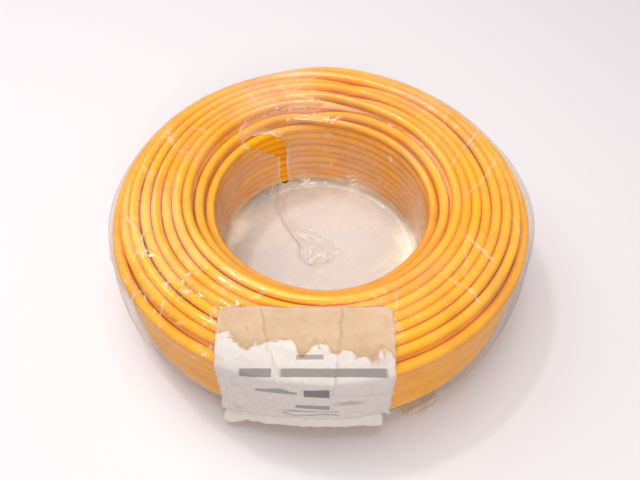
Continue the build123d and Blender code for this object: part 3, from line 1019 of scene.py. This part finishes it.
def make_label(height, film_length, rim_end):
    """The label over the shoulder, and beneath its lower edge the loose strip that sticks out."""
    look = film_lift(height, film_length)
    fold = LABEL_FOLD
    worn_side = 0.10 * wave_noise(np.linspace(0, 11, 140), 8, 0.3, 2.0)
    lower = 0.30 * wave_noise(np.linspace(0, 8, 150), 8, 0.3, 2.0)
    pieces = []
    for name, v0, v1, rows in (("paper_label", 0.0, fold, 140), ("paper_lip", fold - 1.4, LABEL_LENGTH, 40)):
        cols = 150
        is_lip = v0 > 0
        v = np.linspace(v0, v1, rows)
        t = np.linspace(0, 1, cols)
        corner = 2.4
        inset = np.where(v < corner, corner - np.sqrt(np.maximum(corner ** 2 - (corner - v) ** 2, 0)), 0)
        left = LABEL_LEFT + 2.2 - 2.6 * (v / LABEL_LENGTH) ** 0.8 + inset + worn_side[:rows]
        right = LABEL_LEFT + LABEL_WIDTH - 1.0 + 0.6 * (v / LABEL_LENGTH) - inset + worn_side[-rows:]
        if is_lip:
            left, right = left + 1.4, right - 3.2
        x = left[:, None] + (right - left)[:, None] * t[None, :]
        u = x - LABEL_LEFT
        share = ((v - v0) / (v1 - v0))[:, None]
        depth = v[:, None] + share * lower[None, :]
        if is_lip:
            depth = depth + share * (1.6 * np.exp(-((t - 0.06) / 0.06) ** 2) - 1.2 * np.exp(-(t / 0.02) ** 2))
        else:
            depth = depth - share * (1.2 * np.exp(-((t - 0.93) / 0.07) ** 2) + 1.0 * np.exp(-(t / 0.05) ** 2))
        y, z, normal, lift = label_place(x, depth, look, film_length[rim_end])
        reach = 6 if is_lip else 9
        lift = closing(closing(lift, reach).T, reach).T
        soft = blur(blur(lift, 4.0, 0, False), 4.0, 1, False)
        lift = np.maximum(soft, lift) + 0.6
        lift = blur(blur(lift, 1.5, 0, False), 1.5, 1, False)
        crease_shade = np.zeros_like(lift)
        if not is_lip:
            for u0, w0, u1, w1, size, width, shade_strength in LABEL_CREASES:
                du, dv = u1 - u0, w1 - w0
                long = math.hypot(du, dv)
                along = ((u - u0) * du + (depth - w0) * dv) / long
                across = ((u - u0) * dv - (depth - w0) * du) / long + 0.25 * np.sin(along * 0.8 + u0)
                taper = np.sqrt(np.clip(np.sin(np.pi * np.clip(along / long, 0, 1)), 0, 1))
                lift += size * np.exp(-np.abs(across) / width) * taper
                # Painted shade: a dark line just beside each crease's ridge.
                crease_shade += shade_strength * np.exp(-((across - 0.4) / 0.35) ** 2) * taper
            ripple = 0.12 * wave_noise(t * 5, 7, 0.3, 2.2)[None, :] * wave_noise(v / 14, 7, 0.3, 2.2)[:, None]
            lift += ripple
            side = np.exp(-t / 0.035)[None, :] * 0.8 + np.exp(-(1 - t) / 0.03)[None, :] * 0.6
            lift += side * (0.3 + 0.7 * np.sin(depth / LABEL_LENGTH * 4.2) ** 2)
            up = fold - depth
            lift += 0.9 * np.exp(-up / 1.6) + 0.7 * np.exp(-up / 4.0) * np.exp(-(t / 0.2) ** 2)
        past = np.maximum(depth - (fold - 1.4), 0) if is_lip else np.zeros_like(depth)
        tilt = np.radians(18 + 16 * np.exp(-(t / 0.10) ** 2) + 8 * np.exp(-((1 - t) / 0.12) ** 2))[None, :]
        grid = np.stack([x, y, z], -1) + normal * (lift + past * np.sin(tilt))[..., None]
        grid[..., 2] += past * (1 - np.cos(tilt))
        rim = np.minimum(np.minimum(x - left[:, None], right[:, None] - x), np.minimum(depth, v1 - depth))
        piece = grid_sheet(name, grid, paper, 0.15,
                           {"label_u": u, "label_v": depth, "label_rim": np.clip(rim, 0, 9),
                            "label_past": np.clip(past, 0, 4), "label_crease_shade": np.clip(crease_shade, 0, 1)})
        pieces.append(piece)
    label, lip = pieces
    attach(label, "root")
    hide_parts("label")
    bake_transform(lip)
    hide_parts("label_lip")


def paper_material():
    """Tan, water-stained paper with a white lower part, smudges and plain bars where lines of print lie."""
    material, tree, output = new_material("stained_paper")
    link = tree.links.new

    def attribute(name):
        return node(tree, "ShaderNodeAttribute", attribute_name=name).outputs["Fac"]

    def calc(operation, a, b=None, clamp=False):
        return math_of(tree, operation, a, b, clamp=clamp)

    def mix(factor, a, b, blend="MIX"):
        made = node(tree, "ShaderNodeMix", data_type="RGBA", blend_type=blend)
        for socket, value in ((made.inputs["Factor"], factor), (made.inputs[6], a), (made.inputs[7], b)):
            if isinstance(value, tuple):
                socket.default_value = (*value, 1)
            elif isinstance(value, (int, float)):
                socket.default_value = value
            else:
                link(value, socket)
        return made.outputs[2]

    u, v = attribute("label_u"), attribute("label_v")
    place = node(tree, "ShaderNodeCombineXYZ")
    link(u, place.inputs["X"])
    link(v, place.inputs["Y"])

    def noise(scale, detail, distortion=0.0):
        return noise_of(tree, place.outputs["Vector"], Scale=scale, Detail=detail, Distortion=distortion)

    wide, fine, grain = noise(0.085, 3.0, 0.4), noise(0.45, 5.0), noise(3.2, 6.0)
    tide = calc("ADD", v, calc("MULTIPLY", calc("SUBTRACT", wide, 0.5), 26.0))
    tide = calc("ADD", tide, calc("MULTIPLY", calc("SUBTRACT", fine, 0.5), 4.5))
    tide = calc("SUBTRACT", tide, calc("MULTIPLY", u, 0.16))
    tide = calc("SUBTRACT", tide, 10.5)
    white_part = calc("DIVIDE", tide, 1.6, clamp=True)
    off_line = calc("ABSOLUTE", calc("SUBTRACT", tide, -0.4))
    line = calc("SUBTRACT", 1.0, calc("DIVIDE", off_line, 1.4), clamp=True)
    tan = mix(fine, (0.37, 0.215, 0.115), (0.50, 0.33, 0.19))
    tan = mix(calc("MULTIPLY", wide, 0.7), tan, (0.78, 0.58, 0.40))
    white = mix(fine, (0.60, 0.53, 0.49), (0.74, 0.675, 0.635))
    colour = mix(white_part, tan, white)
    colour = mix(calc("MULTIPLY", line, 0.55), colour, (0.42, 0.25, 0.14))
    edge = calc("SUBTRACT", 1.0, calc("DIVIDE", attribute("label_rim"), 1.8), clamp=True)
    colour = mix(calc("MULTIPLY", edge, 0.35), colour, (0.60, 0.48, 0.38))
    blot = calc("MULTIPLY", calc("SUBTRACT", noise(0.11, 2.0, 0.8), 0.60), 6.0, clamp=True)
    colour = mix(calc("MULTIPLY", blot, 0.30), colour, (0.50, 0.36, 0.27))
    smudge_u = calc("DIVIDE", calc("SUBTRACT", u, 53.0), 7.5)
    smudge_v = calc("DIVIDE", calc("SUBTRACT", v, 48.5), 2.4)
    reach = calc("ADD", calc("MULTIPLY", smudge_u, smudge_u), calc("MULTIPLY", smudge_v, smudge_v))
    smudge = calc("MULTIPLY", calc("SUBTRACT", 1.0, reach, clamp=True), calc("MULTIPLY", fine, 1.1))
    colour = mix(smudge, colour, (0.33, 0.22, 0.16))
    ink = 0.0
    for u0, u1, v0, v1, depth in BARS:
        du = calc("DIVIDE", calc("ABSOLUTE", calc("SUBTRACT", u, (u0 + u1) / 2)), (u1 - u0) / 2)
        dv = calc("DIVIDE", calc("ABSOLUTE", calc("SUBTRACT", v, (v0 + v1) / 2)), (v1 - v0) / 2 * 0.80)
        inside = calc("MULTIPLY", calc("SUBTRACT", 1.0, calc("MAXIMUM", du, dv)), 14.0, clamp=True)
        ink = calc("MAXIMUM", calc("MULTIPLY", inside, depth), ink)
    wear = calc("ADD", 0.62, calc("MULTIPLY", grain, 0.6), clamp=True)
    colour = mix(calc("MULTIPLY", ink, wear), colour, (0.10, 0.085, 0.08))
    # Painted shade beside the creases.
    colour = mix(calc("MULTIPLY", attribute("label_crease_shade"), 0.6), colour, (0.36, 0.22, 0.13))
    lip = calc("DIVIDE", attribute("label_past"), 0.8, clamp=True)
    colour = mix(calc("MULTIPLY", lip, 0.6), colour, (0.78, 0.70, 0.62))
    colour = mix(0.25, colour, mix(grain, (0.80, 0.78, 0.76), (1.0, 1.0, 1.0)), "MULTIPLY")
    shader = node(tree, "ShaderNodeBsdfPrincipled", Roughness=0.62, Specular_IOR_Level=0.35)
    link(colour, shader.inputs["Base Color"])
    link(bump_of(tree, calc("ADD", grain, fine), 0.25, 0.0003), shader.inputs["Normal"])
    link(shader.outputs["BSDF"], output.inputs["Surface"])
    return material


# ---------------------------------------------------------------- making the pieces
make_camera()
make_stage()
orange = cable_material()
copper = copper_material()
film = film_material()
paper = paper_material()

slots, place, present = wind()
turn_azimuth = TURN_START + np.arange(STATIONS) * 360.0 / STATIONS
path_azimuth = np.tile(turn_azimuth, len(slots))
flat_place = place.reshape(-1, 2)
path = polar(path_azimuth, flat_place[:, 0], flat_place[:, 1])
layer_of = np.repeat([k for _, _, k in slots], STATIONS)

for k, name in enumerate(LAYER_NODES):
    members = np.where(layer_of == k)[0]
    piece = cable_stretch(name.replace("winding_layer", "cable_turns"), members[0], members[-1] + 1, path,
                          path_azimuth, orange)
    settle(piece, "cable_jacket", name)
for k, cad in ((-1, "cable_inner_end"), (len(LAYER_NODES), "cable_outer_end")):
    members = np.where((layer_of == k) & present.reshape(-1))[0]
    start = k == -1
    last = members[-1] + 1 if start else members[-1]
    piece = cable_stretch(cad + "_jacket", members[0], last, path, path_azimuth, orange, closed_start=start,
                          closed_end=not start)
    settle(piece, "cable_jacket", cad)
    if start:
        line = path[members[0]:members[0] + 4]
        line = np.vstack([line[0] - (line[1] - line[0]) * 0.45, line])
    else:
        line = path[members[-1] - 3:members[-1] + 1]
        line = np.vstack([line, line[-1] + (line[-1] - line[-2]) * 0.45])
    fine = np.linspace(0, len(line) - 1, 40)
    line = np.stack([np.interp(fine, np.arange(len(line)), line[:, i]) for i in range(3)], -1)
    out = line.copy()
    out[:, 2] = 0
    out /= np.linalg.norm(out, axis=1)[:, None]
    core = cad.replace("cable", "conductor")
    settle(strand_bundle(core + "_strands", line, out, copper), "copper_strand", core)

azimuth, film_r, film_z, haze, specks, film_stand_off, film_length, rim_end = film_surface(place, present)
grid = polar(azimuth[:, None] + 0 * film_r, film_r, film_z).transpose(1, 0, 2)
haze, specks = haze.T, specks.T


def film_rows(name, rows, cad, step=1, marks=True):
    """Rows of the film's grid as one sheet."""
    values = {"haze": haze[rows, ::step]}
    if marks:
        values["torn"] = specks[rows, ::step]
    settle(grid_sheet(name, grid[rows, ::step], film, 0, values, wrap=True), "shrink_film", cad)


floor_end = int(np.searchsorted(film_length, HOLE_WALL_R - 5.0))
edge_row = rim_end + int(round((BASE_R - RIM_OUT_R + 4.0) / STEP))
film_rows("film_floor_sheet", slice(0, floor_end + 1), "film_bowl", step=4, marks=False)
hole = slice(floor_end, rim_end + 1)
wall_points, wall_faces, torn = open_tear(grid[hole].reshape(-1, 3),
                                          grid_faces(rim_end + 1 - floor_end, AROUND, wrap=True))
hole_sheet = mesh_object("film_hole_sheet", wall_points, wall_faces, film,
                         {"haze": haze[hole].reshape(-1) + 0.55 * torn,
                          "torn": 0.12 * torn + specks[hole].reshape(-1)})
settle(hole_sheet, "shrink_film", "film_bowl")
film_rows("film_top_sheet", slice(rim_end, edge_row + 1), "film_upper")
film_rows("film_wall_sheet", slice(edge_row, None), "film_upper")

make_tongue(azimuth, film_r, film_z, film_length)
make_base()
make_tab()
make_label(film_stand_off, film_length, rim_end)
